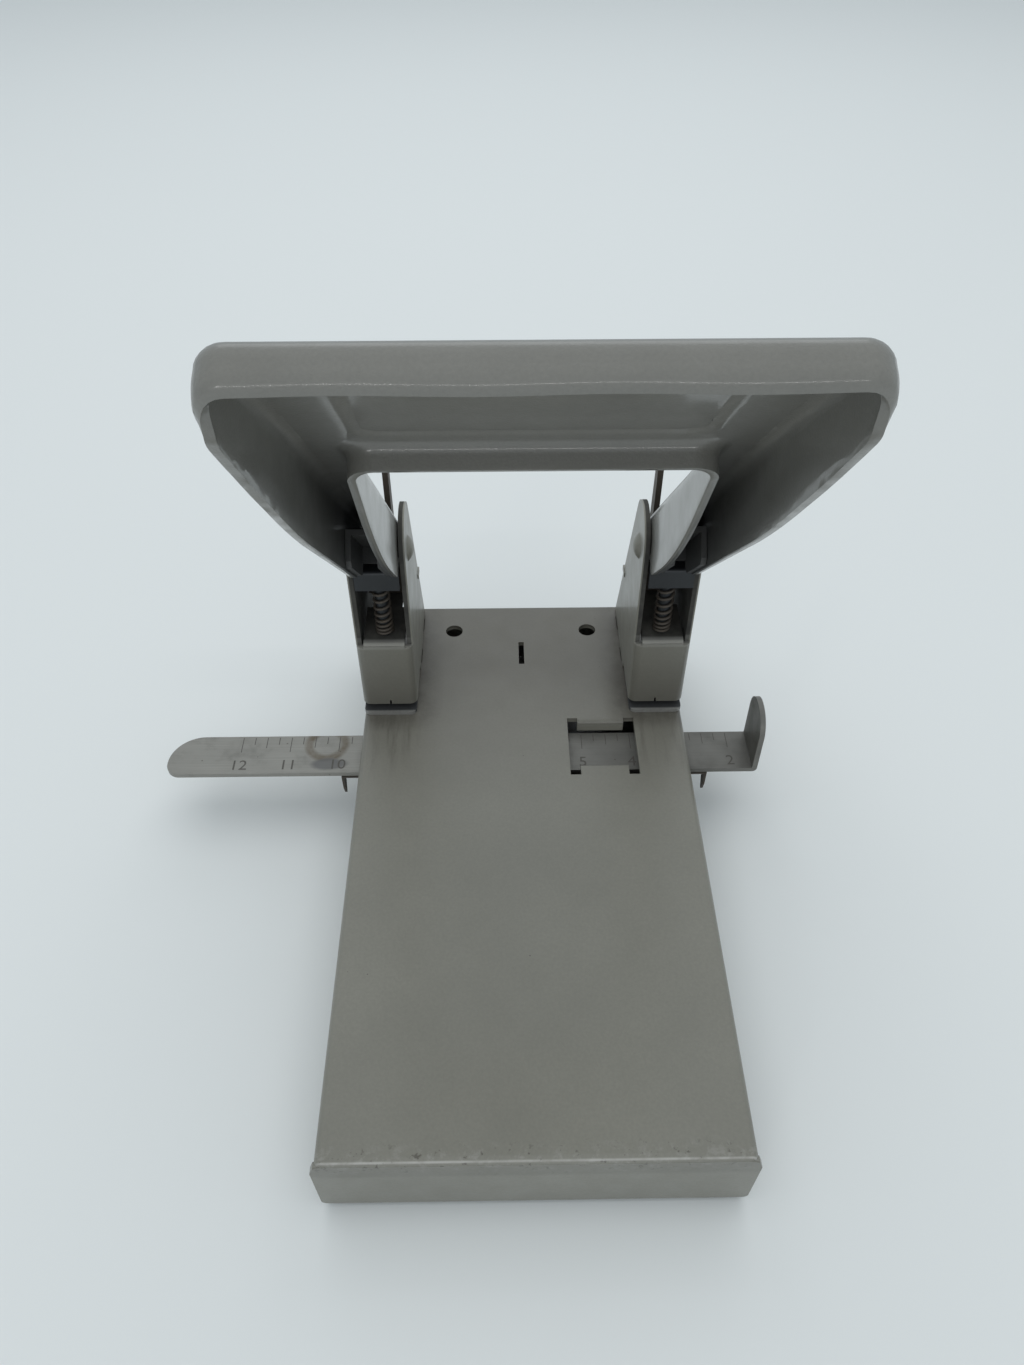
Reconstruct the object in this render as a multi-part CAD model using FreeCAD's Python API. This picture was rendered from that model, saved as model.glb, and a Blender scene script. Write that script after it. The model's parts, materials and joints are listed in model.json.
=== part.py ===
# Two-hole desk punch: folded sheet base, two punch heads, U-shaped lever and a sliding paper gauge.
# Frame: +X right, +Y towards the back, +Z up, origin at the centre of the footprint on the table.
import FreeCAD, Part
import math
import os

V = FreeCAD.Vector

# Driving dimensions, millimetres
SHEET = 1.4                 # thickness of every folded enamelled sheet
PUNCH_X = 34.925            # half of the 2 3/4 inch hole spacing
PUNCH_Y = 42.5
HOLE_DIA = 6.35             # quarter-inch paper hole
RUNNING = 0.05              # radial clearance of a running fit
GAP = 0.4                   # clearance between pieces that move past each other

BASE_HALF_X = 42.0
BASE_HALF_Y = 79.5
BASE_TOP = 21.5
BASE_LOW = 1.8              # lower edge of the base flanges
EAR = [(41.0, 20.3), (42.3, 19.7), (43.05, 17.4), (42.6, BASE_LOW)]   # half outline of the front flange, X and Z
REAR_FLANGE_LOW = 8.3

HEAD_IN, HEAD_OUT = 27.9, 42.2      # faces of a head's cheeks, measured from the middle
HEAD_FRONT = 37.7
HEAD_BEND = 2.0
THROAT_TOP = 23.9
THROAT_BACK = 53.0
CHEEK_FRONT = 39.5
CHEEK_TOP_R = 8.0
CHEEK_TOP_Y, CHEEK_TOP_Z = 47.5, 71.7
CHEEK_REAR_Y = 77.3
SHELF_TOP = 45.3
SHELF_BACK = 70.0
HEAD_TAB_Y = (56.0, 69.0)
FOOT_X = 39.0               # the outer cheek stands over the base flange, so its tabs are set in
DIE_THICK = 1.0
DIE_RIVET_X, DIE_RIVET_Y, DIE_RIVET_R = (31.5, 38.3), 49.0, 1.0
BRACKET_RIVET_X, BRACKET_RIVET_Y = 36.0, 64.5

PIVOT_Y, PIVOT_Z = 47.5, 68.0
PIVOT_DIA = 5.0
RAISE = 45.0                # the lever stands this far above level at rest

LEVER_HALF_X = (40.4, 41.1)     # at the rear and at the front: the lever widens a little
LEVER_FRONT = 131.2         # these lever sizes are measured from the pivot, lever held level
LEVER_REAR = 6.0
LEVER_TOP = 7.9
LEVER_BEND = 3.6
OPEN_HALF_X = 29.6
OPEN_FRONT = 81.2
OPEN_CORNER = 5.0
LEVER_CORNER = 4.3
FLANGE_LOW = -8.09
PANEL_X, PANEL_Y, PANEL_RISE = 29.0, (-121.0, -86.0), 0.8   # embossed pad on the lever's plate
NOSE_A, NOSE_N, NOSE_R = 9.76, -5.09, 3.0
BOSS_R = 4.8

CAP_TOP = 67.9
CAP_LOW = 62.4
SPRING_TOP = 65.8
SPRING_DIA = 4.6
SPRING_WIRE = 0.7
STEM_DIA = 3.0

BAR_Y = (19.3, 32.0)
BAR_Z = (16.5, 17.8)
BAR_LEFT, BAR_STOP = -92.1, 58.5
WINDOW_X = (11.5, 29.0)
WINDOW_Y = (16.8, 34.0)
RELIEF = 2.7

TRAY_HALF_X = 36.2
TRAY_Z = (1.6, 7.8)
TRAY_SHEET = 0.8
MAT_THICK = 1.6


def box(x, y, z):
    """Solid box between pairs of coordinates."""
    return Part.makeBox(x[1] - x[0], y[1] - y[0], z[1] - z[0], V(x[0], y[0], z[0]))


def rod(radius, start, length, axis):
    """Cylinder from a start point along an axis."""
    return Part.makeCylinder(radius, length, V(*start), V(*axis))


def edges_where(shape, test):
    """Edges whose end points all pass a test."""
    return [e for e in shape.Edges if all(test(v.Point) for v in e.Vertexes)]


def along(edge, axis):
    """True when an edge is straight and parallel to a coordinate axis (0, 1 or 2)."""
    a, b = edge.Vertexes[0].Point, edge.Vertexes[-1].Point
    return all(abs(a[i] - b[i]) < 1e-6 for i in range(3) if i != axis) and abs(a[axis] - b[axis]) > 1e-6


def outline(points):
    """Closed wire in the Y-Z plane. A point given as ("arc", mid, end) is a three-point arc."""
    start = V(0, *points[0])
    here, made = start, []
    for p in points[1:]:
        if p[0] == "arc":
            mid, end = V(0, *p[1]), V(0, *p[2])
            made.append(Part.Arc(here, mid, end).toShape())
        else:
            end = V(0, *p)
            made.append(Part.makeLine(here, end))
        here = end
    made.append(Part.makeLine(here, start))
    return Part.Wire(made)


def prism_x(points, x0, x1):
    """Outline in Y-Z, carried along X from x0 to x1."""
    face = Part.Face(outline(points))
    solid = face.extrude(V(x1 - x0, 0, 0))
    solid.translate(V(x0, 0, 0))
    return solid


def sided(shape, side):
    """Shapes are drawn for the right-hand side (+X); side -1 mirrors them to the left."""
    return shape if side > 0 else shape.mirror(V(0, 0, 0), V(1, 0, 0))


def lever_in_place(shape):
    """From the level lever frame (front is -Y, origin at the pivot) to the raised rest place."""
    shape.rotate(V(0, 0, 0), V(1, 0, 0), -RAISE)
    shape.translate(V(0, PIVOT_Y, PIVOT_Z))
    return shape


def base_shell():
    """Folded tray: top, three full flanges, a short rear flange, window, slots and holes."""
    outer = box((-BASE_HALF_X, BASE_HALF_X), (-BASE_HALF_Y, BASE_HALF_Y), (BASE_LOW, BASE_TOP))
    outer = outer.makeFillet(1.6, [e for e in outer.Edges if along(e, 2)])
    outer = outer.makeFillet(1.5, edges_where(outer, lambda p: p.z > BASE_TOP - 1e-3))
    half_x, half_y = BASE_HALF_X - SHEET, BASE_HALF_Y - SHEET
    inner = box((-half_x, half_x), (-half_y, half_y), (0, BASE_TOP - SHEET))
    inner = inner.makeFillet(0.8, edges_where(inner, lambda p: p.z > BASE_TOP - SHEET - 1e-3))
    rim = [V(x, -BASE_HALF_Y, z) for x, z in EAR] + [V(-x, -BASE_HALF_Y, z) for x, z in reversed(EAR)]
    front = Part.Face(Part.makePolygon(rim + rim[:1])).extrude(V(0, SHEET, 0))
    front = front.makeFillet(1.3, [e for e in front.Edges if along(e, 1) and e.Vertexes[0].Z < BASE_LOW + 1])
    front = front.makeFillet(0.6, [e for e in front.Edges if along(e, 1) and 17 < e.Vertexes[0].Z < 20])
    shell = outer.cut(inner).fuse(front)
    cuts = [box((-half_x, half_x), (half_y - 0.6, BASE_HALF_Y + 1), (0, REAR_FLANGE_LOW))]
    cuts += gauge_slots() + window_cuts() + base_holes()
    for cut in cuts:
        shell = shell.cut(cut)
    for tab in window_tabs():
        shell = shell.fuse(tab)
    return shell.removeSplitter()


def gauge_slots():
    """Slots through both side flanges for the gauge bar and the leaf under it."""
    y = (BAR_Y[0] - 0.4, BAR_Y[1] + 0.4)
    return [box((min(s * 39, s * 44), max(s * 39, s * 44)), y, (15.6, 18.2)) for s in (-1, 1)]


def window_cuts():
    """Reading window with a square relief at each corner."""
    z = (BASE_TOP - SHEET - 0.5, BASE_TOP + 1)
    cuts = [box(WINDOW_X, WINDOW_Y, z)]
    for x in (WINDOW_X[0], WINDOW_X[1] - RELIEF):
        cuts.append(box((x, x + RELIEF), (WINDOW_Y[0] - 2.1, WINDOW_Y[0] + 0.6), z))
    return cuts


def window_tabs():
    """Tabs bent down at the front and rear of the window, just clear of the gauge bar."""
    x = (WINDOW_X[0] + RELIEF, WINDOW_X[1] - RELIEF)
    tabs = []
    for y in (WINDOW_Y[0], WINDOW_Y[1] - SHEET):
        tab = box(x, (y, y + SHEET), (BAR_Z[1] + GAP, BASE_TOP))
        inside = WINDOW_Y[0] + SHEET if y == WINDOW_Y[0] else WINDOW_Y[1] - SHEET
        top = [e for e in tab.Edges if along(e, 0) and abs(e.Vertexes[0].Z - BASE_TOP) < 1e-6
               and abs(e.Vertexes[0].Y - inside) < 1e-6]
        tabs.append(tab.makeFillet(1.0, top))
    return tabs


def base_holes():
    """Two round holes, the centre slit, and what the heads and dies need."""
    z0, depth = BASE_TOP - 3, 5
    cuts = [rod(2.4, (s * 19.05, 68.7, z0), depth, (0, 0, 1)) for s in (-1, 1)]
    cuts.append(box((-0.75, 0.75), (54.9, 63.8), (z0, z0 + depth)))
    for s in (-1, 1):
        cuts.append(rod(HOLE_DIA / 2 + 0.8, (s * PUNCH_X, PUNCH_Y, z0), depth, (0, 0, 1)))
        cuts += [rod(DIE_RIVET_R, (s * x, DIE_RIVET_Y, z0), depth, (0, 0, 1)) for x in DIE_RIVET_X]
        cuts += [sided(tab, s) for tab in head_tabs(clearance=0.15)]
    return cuts


def head_tabs(clearance=0.0):
    """Tabs under a head's cheeks that pass through the base top. The outer ones stand inside the flange."""
    c = clearance
    tabs = []
    for x0 in (HEAD_IN, FOOT_X):
        for y0 in HEAD_TAB_Y:
            tabs.append(box((x0 - c, x0 + SHEET + c), (y0 - c, y0 + 5 + c), (19.0 - c, BASE_TOP + 0.5)))
    return tabs


def head_frame():
    """Front plate, two cheeks and the shelf that is folded back from the front plate."""
    outer = box((HEAD_IN, HEAD_OUT), (HEAD_FRONT, 82), (BASE_TOP, 82))
    outer = outer.makeFillet(HEAD_BEND, [e for e in outer.Edges if along(e, 2) and e.Vertexes[0].Y < 40])
    inner = box((HEAD_IN + SHEET, HEAD_OUT - SHEET), (HEAD_FRONT + SHEET, 83), (BASE_TOP - 1, 83))
    inner = inner.makeFillet(0.6, [e for e in inner.Edges if along(e, 2) and e.Vertexes[0].Y < 40])
    frame = outer.cut(inner).common(prism_x(cheek_profile(), HEAD_IN - 1, HEAD_OUT + 1))
    relief_z = (SHELF_TOP - SHEET, SHELF_TOP + 2)
    for x in ((HEAD_IN - 0.1, HEAD_IN + 2.0), (HEAD_OUT - 2.0, HEAD_OUT + 0.1)):
        frame = frame.cut(box(x, (HEAD_FRONT - 1, CHEEK_FRONT), relief_z))
    frame = frame.fuse(head_shelf())
    feet = [box((FOOT_X, HEAD_OUT - SHEET), (y, y + 5), (BASE_TOP, BASE_TOP + 1.2)) for y in HEAD_TAB_Y]
    for tab in head_tabs() + feet:
        frame = frame.fuse(tab)
    frame = frame.cut(rod(PIVOT_DIA / 2, (HEAD_IN - 5, PIVOT_Y, PIVOT_Z), 25, (1, 0, 0)))
    notch = box((PUNCH_X - 0.25, PUNCH_X + 0.25), (HEAD_FRONT - 1, HEAD_FRONT + 3), (20, THROAT_TOP + 1.3))
    return frame.cut(notch).removeSplitter()


def cheek_profile():
    """Side outline of a head: upright front, round top about the pivot, slanted rear, paper throat."""
    run = CHEEK_REAR_Y - CHEEK_TOP_Y
    rise = CHEEK_TOP_Z - BASE_TOP
    reach = math.hypot(run, rise)
    turn = math.acos(CHEEK_TOP_R / reach) - math.atan2(rise, run)
    top = (CHEEK_TOP_Y + CHEEK_TOP_R * math.cos(turn), CHEEK_TOP_Z + CHEEK_TOP_R * math.sin(turn))
    crown = (CHEEK_TOP_Y, CHEEK_TOP_Z + CHEEK_TOP_R)
    front_top = SHELF_TOP - 0.9
    return [(HEAD_FRONT - 0.01, THROAT_TOP), (THROAT_BACK, THROAT_TOP), (THROAT_BACK, BASE_TOP),
            (CHEEK_REAR_Y, BASE_TOP), top, ("arc", crown, (CHEEK_FRONT, CHEEK_TOP_Z)),
            (CHEEK_FRONT, front_top), (HEAD_FRONT - 0.01, front_top)]


def head_shelf():
    """Spring seat: wide at the fold, narrower behind, with tab ends that show in the cheeks."""
    z = (SHELF_TOP - SHEET, SHELF_TOP)
    wide = box((HEAD_IN + 2.0, HEAD_OUT - 2.0), (HEAD_FRONT, 52), (SHELF_TOP - 3, SHELF_TOP))
    wide = wide.makeFillet(1.9, [e for e in wide.Edges if along(e, 0) and e.Vertexes[0].Y < 40
                                 and e.Vertexes[0].Z > SHELF_TOP - 0.1])
    wide = wide.cut(box((HEAD_IN, HEAD_OUT), (HEAD_FRONT + SHEET, 53), (SHELF_TOP - 4, z[0])))
    narrow = box((31.3, 38.8), (51, SHELF_BACK), z)
    tabs = box((HEAD_IN - 0.25, HEAD_OUT + 0.25), (65.0, 68.5), z)
    shelf = wide.fuse(narrow).fuse(tabs)
    shelf = shelf.cut(rod(1.0, (BRACKET_RIVET_X, BRACKET_RIVET_Y, 40), 10, (0, 0, 1)))
    return shelf.cut(rod(STEM_DIA / 2 + 0.1, (PUNCH_X, PUNCH_Y, 40), 10, (0, 0, 1)))


def die_plate():
    """Hardened plate on the base under each head; its front edge is the lower lip of the throat."""
    plate = box((28.2, 41.9), (36.0, 51.5), (BASE_TOP, BASE_TOP + DIE_THICK))
    plate = plate.makeFillet(1.6, [e for e in plate.Edges if along(e, 2) and e.Vertexes[0].Y < 37])
    plate = plate.cut(rod(HOLE_DIA / 2 + RUNNING, (PUNCH_X, PUNCH_Y, 20), 5, (0, 0, 1)))
    for x in DIE_RIVET_X:
        plate = plate.cut(rod(DIE_RIVET_R, (x, DIE_RIVET_Y, 20), 5, (0, 0, 1)))
    return plate


def die_rivets():
    """Flush rivets that hold both die plates to the base top."""
    rivets = []
    for s in (-1, 1):
        for x in DIE_RIVET_X:
            low = BASE_TOP - SHEET - 0.6
            shank = rod(DIE_RIVET_R, (s * x, DIE_RIVET_Y, low), BASE_TOP + DIE_THICK - low, (0, 0, 1))
            head = rod(1.5, (s * x, DIE_RIVET_Y, low), 0.6, (0, 0, 1))
            rivets.append(shank.fuse(head).removeSplitter())
    return Part.makeCompound(rivets)


def guide_plate():
    """Lower guide of the punch, which also strips the paper off it on the way up."""
    plate = box((HEAD_IN + SHEET, HEAD_OUT - SHEET), (HEAD_FRONT + SHEET, 51), (24.2, 25.6))
    plate = plate.makeChamfer(0.8, [e for e in plate.Edges if along(e, 2) and e.Vertexes[0].Y < 40])
    return plate.cut(rod(HOLE_DIA / 2 + RUNNING, (PUNCH_X, PUNCH_Y, 20), 10, (0, 0, 1)))


def stop_bracket():
    """Foot on the shelf, a wall that closes the head behind the spring, and the stop finger above it."""
    foot = box((32.3, 37.8), (57.75, 68.0), (SHELF_TOP, SHELF_TOP + 1.2))
    wall = box((31.4, 40.4), (57.75, 58.95), (SHELF_TOP, 61.0))
    wall = wall.makeFillet(2.0, [e for e in wall.Edges if along(e, 1) and e.Vertexes[0].Z > 60])
    finger = prism_x([(57.75, SHELF_TOP), (64.0, SHELF_TOP), (62.4, 60.0), (61.3, 83.0),
                      ("arc", (59.5, 85.2), (57.75, 83.0))], 32.3, 33.7)
    bracket = foot.fuse(wall).fuse(finger).removeSplitter()
    return bracket.cut(rod(1.0, (BRACKET_RIVET_X, BRACKET_RIVET_Y, 40), 10, (0, 0, 1)))


def bracket_rivets():
    """One rivet through each stop bracket's foot and the shelf under it."""
    rivets = []
    for s in (-1, 1):
        x, y = s * BRACKET_RIVET_X, BRACKET_RIVET_Y
        shank = rod(1.0, (x, y, SHELF_TOP - SHEET), SHEET + 1.2, (0, 0, 1))
        head = rod(1.6, (x, y, SHELF_TOP + 1.2), 0.7, (0, 0, 1))
        tail = rod(1.6, (x, y, SHELF_TOP - SHEET - 0.6), 0.6, (0, 0, 1))
        rivets.append(shank.fuse(head).fuse(tail).removeSplitter())
    return Part.makeCompound(rivets)


def pivot_rivet():
    """Shank through both cheeks and both arm flanges, with a domed head at each end."""
    shank = rod(PIVOT_DIA / 2, (HEAD_IN, PIVOT_Y, PIVOT_Z), HEAD_OUT - HEAD_IN, (1, 0, 0))
    for x, way, height in ((HEAD_IN, -1, 1.5), (HEAD_OUT, 1, 1.2)):
        half = 3.25
        radius = (half ** 2 + height ** 2) / (2 * height)
        ball = Part.makeSphere(radius, V(x - way * (radius - height), PIVOT_Y, PIVOT_Z))
        slab = box((min(x, x + way * 3), max(x, x + way * 3)), (PIVOT_Y - 4, PIVOT_Y + 4),
                   (PIVOT_Z - 4, PIVOT_Z + 4))
        shank = shank.fuse(ball.common(slab))
    return shank.removeSplitter()


def lever_block(half_x, front, top, open_half, open_front, corner, open_corner, bend, rear):
    """U-shaped block seen from above, its upper edges rounded; two of these make the pressed shell."""
    wide = half_x[1] + (front - LEVER_FRONT) * (half_x[1] - half_x[0]) / LEVER_FRONT
    ends = [V(-half_x[0], rear, -14), V(-wide, -front, -14), V(wide, -front, -14), V(half_x[0], rear, -14)]
    block = Part.Face(Part.makePolygon(ends + ends[:1])).extrude(V(0, 0, top + 14))
    block = block.makeFillet(corner, [e for e in block.Edges if along(e, 2) and e.Vertexes[0].Y < 0])
    hole = box((-open_half, open_half), (-open_front, rear + 5), (-16, top + 5))
    hole = hole.makeFillet(open_corner, [e for e in hole.Edges if along(e, 2) and e.Vertexes[0].Y < 0])
    block = block.cut(hole)
    rim = [e for e in block.Edges
           if all(abs(v.Z - top) < 1e-6 for v in e.Vertexes)
           and not all(abs(v.Y - rear) < 1e-6 for v in e.Vertexes)]
    return block.makeFillet(bend, rim)


def panel(inset, top):
    """Low rounded pad that embosses the lever's plate."""
    x = PANEL_X - inset
    pad = box((-x, x), (PANEL_Y[0] + inset, PANEL_Y[1] - inset), (top - 0.5, top + PANEL_RISE))
    pad = pad.makeFillet(4.0 - inset, [e for e in pad.Edges if along(e, 2)])
    return pad.makeFillet(0.6, edges_where(pad, lambda p: p.z > top + PANEL_RISE - 1e-3))


def flange_profile(lower):
    """Side outline that trims the arm flanges: rear end, boss round the pivot, nose, then a lower edge."""
    diag = math.sqrt(0.5)
    return [(LEVER_REAR + 1, 30), (LEVER_REAR + 1, -0.5), (LEVER_REAR, -0.5),
            ("arc", (4.0, -3.6), (0, -BOSS_R)),
            ("arc", (-BOSS_R * diag, -BOSS_R * diag), (-4.5, -1.67)),
            (-(NOSE_A - 2.95), NOSE_N + 0.55),
            ("arc", (-(NOSE_A - NOSE_R * diag), NOSE_N - NOSE_R * diag), (-NOSE_A, NOSE_N - NOSE_R)),
            ] + lower + [(-LEVER_FRONT - 5, 30)]


def lever_shell():
    """The pressed lever: a plate with flanges all round, cut out between the two arms."""
    outer = lever_block(LEVER_HALF_X, LEVER_FRONT, LEVER_TOP, OPEN_HALF_X, OPEN_FRONT,
                        LEVER_CORNER, OPEN_CORNER, LEVER_BEND, LEVER_REAR)
    inner = lever_block([x - SHEET for x in LEVER_HALF_X], LEVER_FRONT - SHEET, LEVER_TOP - SHEET,
                        OPEN_HALF_X + SHEET, OPEN_FRONT + SHEET, LEVER_CORNER - SHEET,
                        OPEN_CORNER + SHEET, LEVER_BEND - SHEET, LEVER_REAR + 3)
    shell = outer.fuse(panel(0, LEVER_TOP)).cut(inner.fuse(panel(0.7, LEVER_TOP - SHEET)))
    side_low = [(-66, FLANGE_LOW), ("arc", (-98, -6.3), (-124, -3.0)), (-LEVER_FRONT, 0.1),
                (-LEVER_FRONT - 5, 0.1)]
    mid_low = [(-22, FLANGE_LOW), ("arc", (-45.5, -6.3), (-63, -2.9)), (-OPEN_FRONT - 0.5, 1.85),
               (-OPEN_FRONT - 8, 1.85), (-OPEN_FRONT - 12, 0.1), (-LEVER_FRONT - 5, 0.1)]
    keep = prism_x(flange_profile(mid_low), -35, 35)
    for s in (-1, 1):
        keep = keep.fuse(prism_x(flange_profile(side_low), min(s * 35, s * 45), max(s * 35, s * 45)))
    shell = shell.common(keep)
    bore = rod(PIVOT_DIA / 2 + RUNNING, (-45, 0, 0), 90, (1, 0, 0))
    return lever_in_place(shell.cut(bore).removeSplitter())


def arm_liner():
    """Stiffening channel inside an arm, welded to its flanges, with its own nose over the punch cap."""
    profile = [(-3.0, 4.4), (-11.0, 0.5), (-27.2, 0.5), (-27.2, -6.4), (-25.6, -7.69), (-NOSE_A, -7.69),
               ("arc", (-(NOSE_A - 1.84), NOSE_N - 1.84), (-(NOSE_A - 2.6), NOSE_N)), (-4.4, -1.67),
               ("arc", (-3.1, -3.1), (0, -4.4)), ("arc", (4.4, 0), (0, 4.4))]
    liner = prism_x(profile, OPEN_HALF_X + SHEET, LEVER_HALF_X[0] - SHEET)
    hollow = box((32.2, 37.8), (-30, 10), (-12, 10))
    web = box((32.2, 37.8), (-27.2, -7.0), (-0.7, 0.5))
    tongue = box((32.2, 37.8), (-8.2, -7.0), (-4.6, 0.5))
    liner = liner.cut(hollow).fuse(web).fuse(tongue)
    return liner.cut(rod(PIVOT_DIA / 2 + RUNNING, (25, 0, 0), 20, (1, 0, 0))).removeSplitter()


def punch_pin():
    """Cutting punch with a hollow-ground tip, a thin stem for the spring and a spigot for the cap."""
    tip = 24.6
    body = rod(HOLE_DIA / 2, (PUNCH_X, PUNCH_Y, tip), 43.5 - tip, (0, 0, 1))
    groove = rod(4.0, (PUNCH_X - 5, PUNCH_Y, tip - 3.2), 10, (1, 0, 0))
    stem = rod(STEM_DIA / 2, (PUNCH_X, PUNCH_Y, 43.5), SPRING_TOP - 43.5, (0, 0, 1))
    spigot = rod(1.2, (PUNCH_X, PUNCH_Y, SPRING_TOP), CAP_TOP - SPRING_TOP, (0, 0, 1))
    return body.cut(groove).fuse(stem).fuse(spigot).removeSplitter()


def punch_cap():
    """Cap on the punch: full-width front bar under the arm's noses, skirt in front of the spring."""
    bar = box((29.7, 40.4), (38.0, 42.0), (SPRING_TOP, CAP_TOP))
    bar = bar.makeFillet(0.8, [e for e in bar.Edges if along(e, 0) and e.Vertexes[0].Y < 39
                               and e.Vertexes[0].Z > CAP_TOP - 0.1])
    tail = box((32.65, 37.2), (41.5, 44.6), (SPRING_TOP, CAP_TOP))
    skirt = box((29.7, 40.4), (38.0, 39.3), (CAP_LOW, SPRING_TOP + 0.5))
    cap = bar.fuse(tail).fuse(skirt)
    return cap.cut(rod(1.2, (PUNCH_X, PUNCH_Y, 60), 10, (0, 0, 1))).removeSplitter()


def punch_spring():
    """Compression coil between the shelf and the cap."""
    middle = (SPRING_DIA - SPRING_WIRE) / 2
    length = SPRING_TOP - SHELF_TOP - SPRING_WIRE - 0.1
    turns = 7
    helix = Part.makeHelix(length / turns, length, middle)
    ring = Part.Wire([Part.makeCircle(SPRING_WIRE / 2, V(middle, 0, 0), V(0, 1, 0))])
    coil = Part.Wire(helix).makePipeShell([ring], True, True)
    coil.translate(V(PUNCH_X, PUNCH_Y, SHELF_TOP + SPRING_WIRE / 2 + 0.05))
    return coil


def gauge_bar():
    """Graduated steel strip with one rounded end and a paper stop bent up at the other."""
    bar = box((BAR_LEFT, BAR_STOP + 1.3), BAR_Y, BAR_Z)
    rear = [e for e in bar.Edges if along(e, 2) and e.Vertexes[0].X < 0 and e.Vertexes[0].Y > 25]
    bar = bar.makeFillet(8.5, rear)
    front = [e for e in bar.Edges if along(e, 2) and e.Vertexes[0].X < -80 and e.Vertexes[0].Y < 25]
    bar = bar.makeFillet(3.5, front)
    stop = box((BAR_STOP, BAR_STOP + 1.3), BAR_Y, (BAR_Z[0], 34.8))
    stop = stop.makeFillet(6.0, [e for e in stop.Edges if along(e, 0) and e.Vertexes[0].Z > 30])
    whole = bar.fuse(stop).removeSplitter()
    corner = [e for e in whole.Edges if along(e, 1) and e.Vertexes[0].X > BAR_STOP + 1
              and e.Vertexes[0].Z < BAR_Z[0] + 0.1]
    return whole.makeFillet(1.2, corner)


def gauge_leaf():
    """Spring strip under the gauge bar, its pointed ends bent down outside the base."""
    y0, y1, low, top = 19.3, 22.3, 15.6, 16.2
    strip = box((-47.1, 47.1), (y0, y1), (low, top))
    for s in (-1, 1):
        x = (46.5, 47.1) if s > 0 else (-47.1, -46.5)
        end = prism_x([(y0, top), (y1, top), (y1 - 0.3, 11.5), (20.9, 8.5), (20.5, 8.5), (y0 + 0.2, 11.5)],
                      x[0], x[1])
        strip = strip.fuse(end)
    return strip.removeSplitter()


def tray_rail():
    """Angle strip inside a side flange that carries the chip tray's turned-out edge."""
    x_wall = BASE_HALF_X - SHEET
    web = box((x_wall - 0.8, x_wall), (-74, 76), (3.0, 6.6))
    lip = box((36.8, x_wall), (-74, 76), (5.6, 6.6))
    return web.fuse(lip).removeSplitter()


def chip_tray():
    """Shallow sliding tray that closes the underside and catches the paper chips."""
    w, (z0, z1), t = TRAY_HALF_X, TRAY_Z, TRAY_SHEET
    tray = box((-w, w), (-76, 78.5), (z0, z1)).cut(box((-w + t, w - t), (-76 + t, 78.5 - t), (z0 + t, z1 + 1)))
    for s in (-1, 1):
        x = (w - t, w + 3.2) if s > 0 else (-w - 3.2, -w + t)
        tray = tray.fuse(box(x, (-76, 78.5), (z1 - t, z1)))
    pull = box((-11, 11), (78.0, 82.5), (z0, z0 + t))
    pull = pull.makeFillet(2.5, [e for e in pull.Edges if along(e, 2) and e.Vertexes[0].Y > 80])
    return tray.fuse(pull).removeSplitter()


def rubber_mat():
    """Non-slip sheet glued under the chip tray; its underside is the resting face."""
    mat = box((-35.5, 35.5), (-75, 77), (0, MAT_THICK))
    return mat.makeFillet(3.0, [e for e in mat.Edges if along(e, 2)])


def write(name, shape):
    """Checks a sub-part and writes its STEP file."""
    if not shape.isValid():
        raise RuntimeError(name + " is not a valid solid")
    print("%-22s %8.1f mm3  solids %d" % (name, shape.Volume, len(shape.Solids)))
    shape.exportStep(os.path.join("parts", name + ".step"))


os.makedirs("parts", exist_ok=True)
single = {
    "base_shell": base_shell, "die_rivets": die_rivets, "bracket_rivets": bracket_rivets,
    "handle_shell": lever_shell, "gauge_bar": gauge_bar, "gauge_leaf_spring": gauge_leaf,
    "chip_tray": chip_tray, "rubber_mat": rubber_mat,
}
paired = {
    "head_frame": head_frame, "die_plate": die_plate, "guide_plate": guide_plate,
    "stop_bracket": stop_bracket, "pivot_rivet": pivot_rivet, "punch_pin": punch_pin,
    "punch_cap": punch_cap, "punch_spring": punch_spring, "tray_rail": tray_rail,
}
for name, make in single.items():
    write(name, make())
for name, make in paired.items():
    for side, word in ((-1, "left"), (1, "right")):
        write(word + "_" + name, sided(make(), side))
for side, word in ((-1, "left"), (1, "right")):
    write(word + "_arm_liner", lever_in_place(sided(arm_liner(), side)))
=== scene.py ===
import json
import math
import bmesh
import bpy
import numpy as np
from mathutils import Matrix, Vector


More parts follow.
